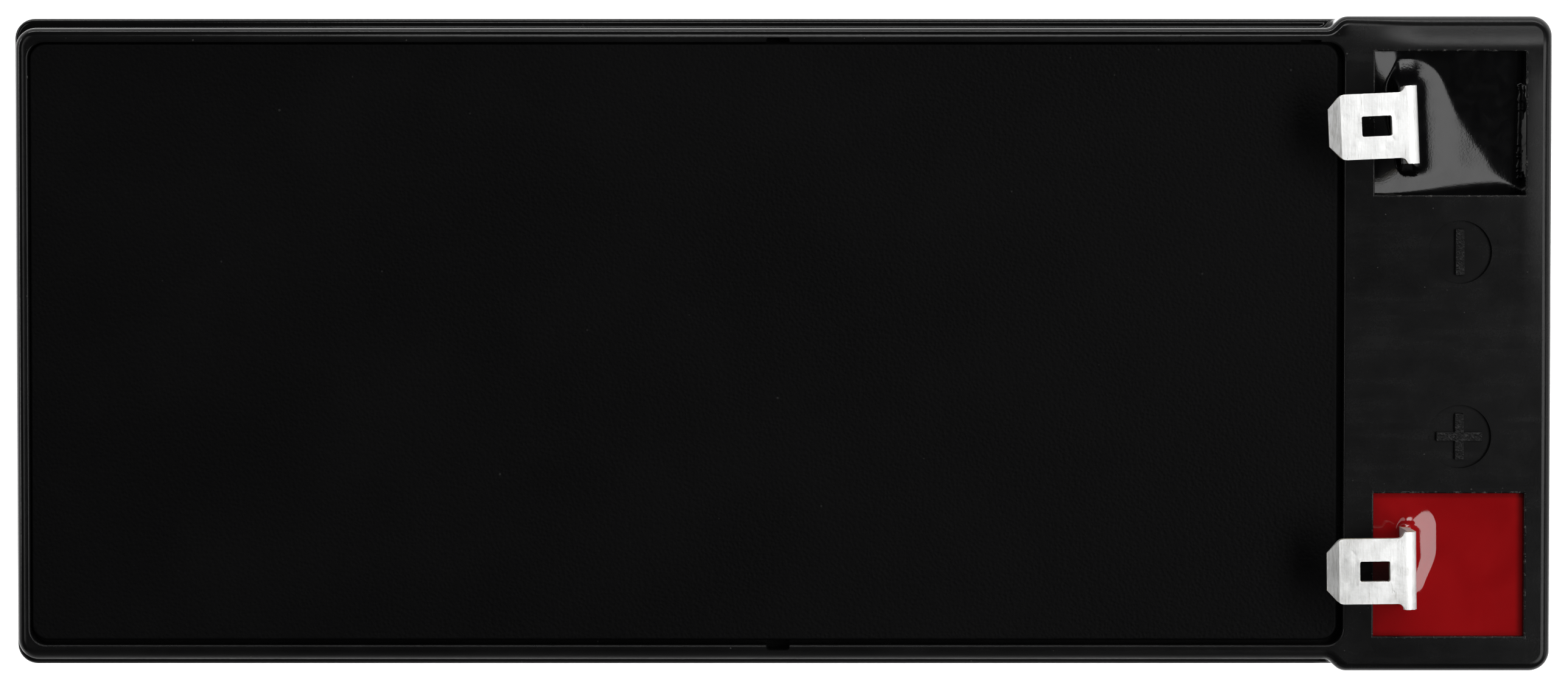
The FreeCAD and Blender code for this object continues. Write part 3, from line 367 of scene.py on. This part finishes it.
def glass_mat():
    m = Mat("glass_fibre_mat")
    a = m.noise(1.0, 5, 0.7, vec=m.mapped((600, 600, 5200)))
    b = m.noise(1.0, 5, 0.7, vec=m.mapped((5200, 600, 600), (0, 0.5, 0.3)))
    felt = m.math("MULTIPLY", m.math("ADD", a, b), 0.5)
    m.link(m.mix(m.ramp(felt, 0.4, 0.65), rgb(0.66, 0.66, 0.64), rgb(0.88, 0.88, 0.87)), m.b.inputs["Base Color"])
    m.b.inputs["Roughness"].default_value = 0.9
    m.b.inputs["Sheen Weight"].default_value = 0.3
    m.link(m.bump(felt, 0.0001, 0.9), m.b.inputs["Normal"])
    return m.m


def sealant():
    m = Mat("seam_sealant")
    a = m.noise(420, 4, 0.6)
    m.link(m.mix(m.ramp(a, 0.3, 0.7), rgb(0.02, 0.018, 0.016), rgb(0.05, 0.045, 0.04)), m.b.inputs["Base Color"])
    m.link(m.ramp(a, 0.3, 0.8, 0.22, 0.4), m.b.inputs["Roughness"])
    m.link(m.bump(a, 0.0001, 0.7), m.b.inputs["Normal"])
    return m.m


MATS = {
    "case_black": plastic_case(),
    "cover_black": plastic_cover(),
    "seam_sealant": sealant(),
    "valve_rubber": rubber(),
    "cast_lead": lead("cast_lead", rgb(0.30, 0.31, 0.33), rgb(0.46, 0.47, 0.49), 0.45),
    "solder": lead("solder", rgb(0.58, 0.58, 0.59), rgb(0.72, 0.72, 0.72), 0.28, 500, 1.0),
    "tinned_brass": tinned("tinned_brass"),
    # resin_black's smear is lightened to act as a painted highlight on its right wall
    "resin_black": resin("resin_black", rgb(0.0005, 0.0005, 0.0006), rgb(0.0012, 0.0012, 0.0014), 0.12, 0.26, 1.0, smear=True),
    # resin_red has no smear, so it gets the painted shade below the blade
    "resin_red": resin("resin_red", rgb(0.190, 0.0013, 0.0023), rgb(0.222, 0.0025, 0.0035), 0.04, 0.5, 0.2),
    "positive_active_mass": lead("lead_dioxide_paste", rgb(0.045, 0.020, 0.012), rgb(0.095, 0.045, 0.026), 0.75, 420, 0.1),
    "negative_active_mass": lead("sponge_lead_paste", rgb(0.16, 0.165, 0.175), rgb(0.27, 0.275, 0.285), 0.6, 420, 0.35),
    "glass_mat": glass_mat(),
}
CUT_EDGE = tinned("tinned_brass_cut_edge", cut=True)
COINED = tinned("tinned_brass_coined", coined=True)
HANDLED = tinned("tinned_brass_handled", handled=0.42)
COINED_HANDLED = tinned("tinned_brass_coined_handled", coined=True, handled=0.42)

slot_of = {s["node"]: s["material_slot"] for s in frame["record"]["subparts"]}
for name, obj in frame["nodes"].items():
    mat = MATS[slot_of[name]]
    if not obj.material_slots:
        obj.data.materials.append(mat)
    for s in obj.material_slots:
        s.material = mat


# ------------------------------------------------------------------ mesh tools
def finish_mesh(bm, name, mats, smooth_angle=math.radians(35)):
    bmesh.ops.recalc_face_normals(bm, faces=bm.faces)
    for f in bm.faces:
        f.smooth = True
    for e in bm.edges:
        e.smooth = not (len(e.link_faces) == 2 and e.calc_face_angle(0.0) > smooth_angle)
    me = bpy.data.meshes.new(name)
    bm.to_mesh(me)
    bm.free()
    ob = bpy.data.objects.new(name, me)
    scene.collection.objects.link(ob)
    for mt in mats:
        me.materials.append(mt)
    return ob


def smoothstep(a, b, x):
    t = min(1.0, max(0.0, (x - a) / (b - a)))
    return t * t * (3 - 2 * t)


# ------------------------------------------------------------------ resin in the wells
WELL_X, WELL_Y, WELL_L, WELL_W = 65.5, 21.55, 14.7, 14.0
RESIN_TOP, WELL_FLOOR = 92.4, 86.5


def leg_distance(x, y, yaw):
    """How far a point is from the blade's leg, and in which direction (from the leg's middle), in mm and radians."""
    c, s = math.cos(-yaw), math.sin(-yaw)
    u, v = x * c - y * s, x * s + y * c
    dx = max(-4.72 - u, 0.0, u + 3.88)
    dy = max(abs(v) - 3.75, 0.0)
    return math.hypot(dx, dy), math.atan2(v, u + 4.3), u, v


def well_resin(name, node, sy, yaw, slot, seed, shape):
    nx, ny = 190, 180
    bm = bmesh.new()
    grid = []
    for j in range(ny + 1):
        row = []
        for i in range(nx + 1):
            # finer towards the walls
            a, b = i / nx * 2 - 1, j / ny * 2 - 1
            a = math.copysign(abs(a) ** 0.85, a)
            b = math.copysign(abs(b) ** 0.85, b)
            x, y = a * WELL_L / 2, b * WELL_W / 2
            z = shape(x, y, *leg_distance(x, y, yaw), seed)
            row.append(bm.verts.new(((WELL_X + x) * MM, (WELL_Y * sy + y) * MM, z * MM)))
        grid.append(row)
    for j in range(ny):
        for i in range(nx):
            bm.faces.new((grid[j][i], grid[j][i + 1], grid[j + 1][i + 1], grid[j + 1][i]))
    rim = (
        [grid[0][i] for i in range(nx)]
        + [grid[j][nx] for j in range(ny)]
        + [grid[ny][i] for i in range(nx, 0, -1)]
        + [grid[j][0] for j in range(ny, 0, -1)]
    )
    foot = [bm.verts.new((v.co.x, v.co.y, WELL_FLOOR * MM)) for v in rim]
    for k in range(len(rim)):
        k2 = (k + 1) % len(rim)
        bm.faces.new((rim[k], foot[k], foot[k2], rim[k2]))
    bm.faces.new(foot)
    ob = finish_mesh(bm, name, [MATS[slot]], math.radians(50))
    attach(ob, "battery")
    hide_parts(node)
    return ob


def surface_waves(x, y, seed, amount):
    return amount * noise.noise(Vector((x * 0.22, y * 0.22, seed))) + amount * 0.35 * noise.noise(
        Vector((x * 0.6, y * 0.6, seed + 7))
    )


def soft_max(a, b, k):
    return 0.5 * (a + b + math.sqrt((a - b) ** 2 + k * k))


def black_surface(x, y, d, way, u, v, seed):
    """A cone round the leg, a ramp along the front from the left wall, a drop in the back corner, and a sloping level."""
    if d < 1.9:
        drop = d * (0.70 - 0.5 * 0.200 * d)
    elif d < 5.2:
        t = d - 1.9
        drop = 0.969 + t * (0.32 - 0.5 * 0.0606 * t)
    else:
        drop = 1.695 + 0.120 * (d - 5.2)
    cone = 93.75 - drop
    if u < -4.3:
        cone -= 0.5 * smoothstep(-4.3, -6.0, u)
    level = 92.03 + 0.075 * y
    front_ramp = 91.66 + 0.150 * (4.4 - x) + 0.15 * (-4.5 - y)
    z = soft_max(soft_max(cone, level, 0.05), front_ramp, 0.06)
    corner = math.hypot((x + WELL_L / 2) * 1.1, (WELL_W / 2 - y) * 0.62)
    z = soft_max(z, 93.10 - 0.25 * corner, 0.10)
    # the front edge climbs its wall, further out to the right
    front = y + WELL_W / 2
    width = 0.30 + 1.45 * smoothstep(-6.5, 5.0, x)
    z += 0.21 * width * max(0.0, 1 - front / width) ** 2
    # and a smear left on the right wall
    right = WELL_L / 2 - x
    ragged = 0.5 + 0.5 * noise.noise(Vector((y * 1.5, 4.0, seed))) + 0.25 * noise.noise(Vector((y * 5.0, 9.0, seed)))
    reach = 0.09 + 0.22 * max(0.0, ragged) ** 2
    z += (94.0 - 91.9 + 0.1) * math.exp(-((right / reach) ** 1.3)) * smoothstep(-5.6, -5.2, y) * smoothstep(3.9, 3.5, y)
    z += surface_waves(x, y, seed, 0.022)
    return min(z, 94.0)


def red_surface(x, y, d, way, u, v, seed):
    """Level, with a short skirt on the back part of the leg only."""
    reach = 2.85 - 1.45 * smoothstep(1.6, -3.2, v)
    reach -= 1.0 * smoothstep(math.radians(50), math.radians(110), way) * smoothstep(3.4, 4.4, v)
    amount = smoothstep(-3.7, -1.4, v) * smoothstep(7.0, 5.4, v)
    side = smoothstep(-5.0, -3.9, u)
    t = max(0.0, reach - d)
    skirt = 0.130 * t + 0.5 * 0.112 * t * t
    z = RESIN_TOP + 0.72 + skirt * amount * side
    z += 0.10 * math.exp(-d / 0.25)
    z += surface_waves(x, y, seed, 0.010)
    return z


YAW = {"negative": math.radians(2.5), "positive": math.radians(0.7)}
well_resin("negative_resin", "negative_well_resin", 1, YAW["negative"], "resin_black", 3.0, black_surface)
well_resin("positive_resin", "positive_well_resin", -1, YAW["positive"], "resin_red", 11.0, red_surface)


# ------------------------------------------------------------------ blade terminals
# made as a flat stamping, then bent at its two corners. u runs along the strip from the tip.
T = 0.8
TIP = -12.6
LEG_IN = -4.7  # leg face towards the tip
TOP = 99.5
FOOT = 87.7
BEND_R = 0.15  # inside radius of both bends
MID_R = BEND_R + T / 2
U_BEND1 = (LEG_IN - BEND_R) - TIP  # flat length of the blade
ARC = MID_R * math.pi / 2
LEG_LEN = (TOP - T - BEND_R) - (FOOT + T + BEND_R)
U_LEG = U_BEND1 + ARC
U_BEND2 = U_LEG + LEG_LEN
U_FOOT = U_BEND2 + ARC
U_END = U_FOOT + 4.2 - (LEG_IN + T + BEND_R)


def bent(u, y, w):
    """Strip coordinates (along, across, through: 0 in the middle) to mm about the post axis."""
    if u <= U_BEND1:
        return Vector((TIP + u, y, TOP - T / 2 + w))
    if u <= U_LEG:
        a = (u - U_BEND1) / MID_R
        r = MID_R + w
        return Vector((LEG_IN - BEND_R + r * math.sin(a), y, TOP - T - BEND_R + r * math.cos(a)))
    if u <= U_BEND2:
        return Vector((LEG_IN + T / 2 + w, y, TOP - T - BEND_R - (u - U_LEG)))
    if u <= U_FOOT:
        a = (u - U_BEND2) / MID_R
        r = MID_R - w
        return Vector(
            (LEG_IN + T + BEND_R - r * math.cos(a), y, FOOT + T + BEND_R - r * math.sin(a))
        )
    return Vector((LEG_IN + T + BEND_R + (u - U_FOOT), y, FOOT + T / 2 + w))


def arc_points(cx, cy, r, a0, a1, n):
    return [(cx + r * math.cos(a0 + (a1 - a0) * k / n), cy + r * math.sin(a0 + (a1 - a0) * k / n)) for k in range(n + 1)]


def blade(name, node, sy, yaw, seed, mats):
    rnd = random.Random(seed)
    half, leg_half = 3.15, 3.75
    shoulder = (-5.2) - TIP
    bevel, tip_half = 1.25, 1.8
    # outline of one half, from the tip to the foot, then mirrored
    r = 0.5
    side = [(0.0, tip_half), (bevel - 0.25, half - 0.28)]
    side += [(bevel + 0.05, half - 0.06), (bevel + 0.35, half)]
    side += arc_points(shoulder - 0.6, half + 0.6, 0.6, -math.pi / 2, 0, 6)
    side += [(shoulder, leg_half - 0.12), (shoulder + 0.12, leg_half)]
    side += [(U_FOOT, leg_half), (U_END - 1.5, leg_half), (U_END, leg_half - 1.5)]
    outer = [(u, y) for u, y in side] + [(u, -y) for u, y in reversed(side)]
    su = -8.0 - TIP
    hl, hw, hr = 2.9 / 2, 1.95 / 2, 0.18
    hole = (
        arc_points(su + hl - hr, hw - hr, hr, math.pi / 2, 0, 4)
        + arc_points(su + hl - hr, -hw + hr, hr, 0, -math.pi / 2, 4)
        + arc_points(su - hl + hr, -hw + hr, hr, -math.pi / 2, -math.pi, 4)
        + arc_points(su - hl + hr, hw - hr, hr, math.pi, math.pi / 2, 4)
    )
    bm = bmesh.new()

    def loop(points):
        vs = [bm.verts.new((u, y, 0)) for u, y in points]
        return [bm.edges.new((vs[i], vs[(i + 1) % len(vs)])) for i in range(len(vs))]

    edges = loop(outer) + loop(hole)
    bmesh.ops.triangle_fill(bm, use_beauty=True, use_dissolve=False, edges=edges)
    bmesh.ops.recalc_face_normals(bm, faces=bm.faces)
    if sum(f.normal.z for f in bm.faces) < 0:
        for f in bm.faces:
            f.normal_flip()
    for f in bm.faces:
        f.material_index = 0
    geo = bmesh.ops.extrude_face_region(bm, geom=list(bm.faces))
    top = [v for v in geo["geom"] if isinstance(v, bmesh.types.BMVert)]
    for v in top:
        v.co.z = T
    for v in bm.verts:
        v.co.z -= T / 2
    bmesh.ops.recalc_face_normals(bm, faces=bm.faces)
    for f in bm.faces:
        if abs(f.normal.z) < 0.5:
            f.material_index = 1
    # burr side and roll-over side of the stamping
    corners = [
        e
        for e in bm.edges
        if len(e.link_faces) == 2
        and (abs(e.link_faces[0].normal.z) > 0.5) != (abs(e.link_faces[1].normal.z) > 0.5)
    ]
    bmesh.ops.bevel(
        bm, geom=corners, offset=0.11, segments=3, profile=0.6, affect="EDGES", clamp_overlap=True, material=0
    )
    # cuts that let the strip bend, and that carry its dents
    cuts = [U_BEND1 + (U_LEG - U_BEND1) * k / 10 for k in range(11)]
    cuts += [U_BEND2 + (U_FOOT - U_BEND2) * k / 8 for k in range(9)]
    cuts += [bevel - 0.1] + [0.12 + 0.3 * k for k in range(int((U_BEND1 - 0.2) / 0.3))]
    cuts += [U_LEG + LEG_LEN * k / 10 for k in range(1, 10)]
    for u in sorted(cuts):
        bmesh.ops.bisect_plane(
            bm, geom=list(bm.verts) + list(bm.edges) + list(bm.faces), dist=1e-5, plane_co=(u, 0, 0), plane_no=(1, 0, 0)
        )
    for k in range(-11, 12):
        bmesh.ops.bisect_plane(
            bm, geom=list(bm.verts) + list(bm.edges) + list(bm.faces), dist=1e-5, plane_co=(0, k * 0.3 + 0.01, 0), plane_no=(0, 1, 0)
        )
    bmesh.ops.triangulate(bm, faces=[f for f in bm.faces if len(f.verts) > 4])
    for f in bm.faces:
        if f.calc_center_median().x < bevel - 0.1 and f.material_index == 0:
            f.material_index = 2
    dents = [
        (rnd.uniform(1.6, 6.6), rnd.uniform(-2.8, 2.8), rnd.uniform(0.25, 0.6), rnd.uniform(-0.035, 0.02)) for _ in range(14)
    ]
    c, s = math.cos(yaw), math.sin(yaw)
    for v in bm.verts:
        u, y, w = v.co
        # the tip is coined thinner on both faces
        thin = max(0.0, min(1.0, 1 - (u - 0.06) / (bevel - 0.16)))
        w *= 1 - 0.66 * thin
        if u < U_BEND1:
            calm = smoothstep(U_BEND1, U_BEND1 - 1.2, u)
            edge = max(abs(u - su) - hl, abs(y) - hw, 0.0)
            if w > 0:
                # a low collar thrown up round the window, and shallow dents
                w += 0.022 * smoothstep(0.30, 0.12, edge) * (0.75 + 0.25 * noise.noise(Vector((u * 2, y * 2, seed))))
                for du, dy, dr, dh in dents:
                    q = math.hypot(u - du, y - dy) / dr
                    if q < 1:
                        w += dh * (1 - q * q) ** 2
                w -= 0.03 * smoothstep(2.2, 3.15, abs(y)) * calm
            w += 0.02 * noise.noise(Vector((u * 0.5, y * 0.5, seed + 3))) * calm
        y += 0.012 * noise.noise(Vector((u * 3.0, seed, y)))
        x3, y3, z3 = bent(u, y, w)
        v.co = Vector(((WELL_X + x3 * c - y3 * s) * MM, (WELL_Y * sy + x3 * s + y3 * c) * MM, z3 * MM))
    ob = finish_mesh(bm, name, mats, math.radians(8))
    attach(ob, "battery")
    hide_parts(node)
    return ob


blade("negative_blade", "negative_blade_terminal", 1, YAW["negative"], 5, [MATS["tinned_brass"], CUT_EDGE, COINED])
blade("positive_blade", "positive_blade_terminal", -1, YAW["positive"], 8, [HANDLED, CUT_EDGE, COINED_HANDLED])


# ------------------------------------------------------------------ floor, world and lights
floor_mesh = bpy.data.meshes.new("studio_floor")
bm = bmesh.new()
bmesh.ops.create_grid(bm, x_segments=8, y_segments=8, size=4.0)
bm.to_mesh(floor_mesh)
bm.free()
floor = bpy.data.objects.new("studio_floor", floor_mesh)
scene.collection.objects.link(floor)
fm = Mat("studio_floor")
tone = fm.noise(1.3, 2, 0.5)
fm.link(fm.mix(tone, rgb(0.86, 0.86, 0.86), rgb(0.90, 0.90, 0.90)), fm.b.inputs["Base Color"])
fm.b.inputs["Roughness"].default_value = 0.9
fm.b.inputs["Specular IOR Level"].default_value = 0.1
fm.b.inputs["Emission Color"].default_value = rgb(1, 1, 1)
fm.b.inputs["Emission Strength"].default_value = 0.66
floor_mesh.materials.append(fm.m)

world = bpy.data.worlds.new("studio")
scene.world = world
world.use_nodes = True
wt = world.node_tree
wt.nodes.clear()
wo = wt.nodes.new("ShaderNodeOutputWorld")
wb = wt.nodes.new("ShaderNodeBackground")
tc = wt.nodes.new("ShaderNodeTexCoord")
sx = wt.nodes.new("ShaderNodeSeparateXYZ")
mr = wt.nodes.new("ShaderNodeMapRange")
mr.interpolation_type = "SMOOTHSTEP"
mr.inputs["From Min"].default_value = 0.05
mr.inputs["From Max"].default_value = 0.40
mr.inputs["To Min"].default_value = 0.85
mr.inputs["To Max"].default_value = 0.06
wt.links.new(tc.outputs["Generated"], sx.inputs[0])
wt.links.new(sx.outputs[2], mr.inputs["Value"])
# the studio is dimmer on the near side, so the front edges stay dark
near = wt.nodes.new("ShaderNodeMapRange")
near.interpolation_type = "SMOOTHSTEP"
near.inputs["From Min"].default_value = -0.60
near.inputs["From Max"].default_value = -0.05
near.inputs["To Min"].default_value = 0.22
near.inputs["To Max"].default_value = 1.0
wt.links.new(sx.outputs[1], near.inputs["Value"])
mul = wt.nodes.new("ShaderNodeMath")
mul.operation = "MULTIPLY"
wt.links.new(mr.outputs[0], mul.inputs[0])
wt.links.new(near.outputs[0], mul.inputs[1])
wt.links.new(mul.outputs[0], wb.inputs["Strength"])
wb.inputs["Color"].default_value = (1, 1, 1, 1)
wt.links.new(wb.outputs[0], wo.inputs[0])


def softbox(name, zenith, azimuth, distance, size, radiance, aim=(0.02, 0.0, 0.094)):
    """A rectangular light at an angle from straight up, at an azimuth from +X, facing the lid."""
    z, a = math.radians(zenith), math.radians(azimuth)
    way = Vector((math.sin(z) * math.cos(a), math.sin(z) * math.sin(a), math.cos(z)))
    data = bpy.data.lights.new(name, "AREA")
    data.shape = "RECTANGLE"
    data.size, data.size_y = size
    data.energy = radiance * math.pi * size[0] * size[1]
    ob = bpy.data.objects.new(name, data)
    scene.collection.objects.link(ob)
    ob.visible_camera = False
    ob.location = Vector(aim) + way * distance
    ob.rotation_euler = (-way).to_track_quat("-Z", "Y").to_euler()
    return ob


softbox("light_key", 34, -4, 1.15, (1.3, 0.48), 6.2)
softbox("light_back_low", 84, 90, 1.4, (1.9, 0.14), 12.0)
softbox("light_back_soft", 33, 82, 1.15, (0.60, 0.22), 8.6)
softbox("light_right_low", 74, 0, 1.2, (0.9, 0.18), 3.0)
softbox("light_left", 82, 168, 1.25, (0.8, 0.16), 7.0)
softbox("light_front", 66, -90, 1.3, (1.2, 0.30), 0.25)
softbox("light_left_soft", 38, 166, 1.15, (0.9, 0.30), 2.2)

scene.view_settings.view_transform = "Standard"
scene.view_settings.look = "None"
scene.view_settings.exposure = 0.0
scene.view_settings.gamma = 1.0
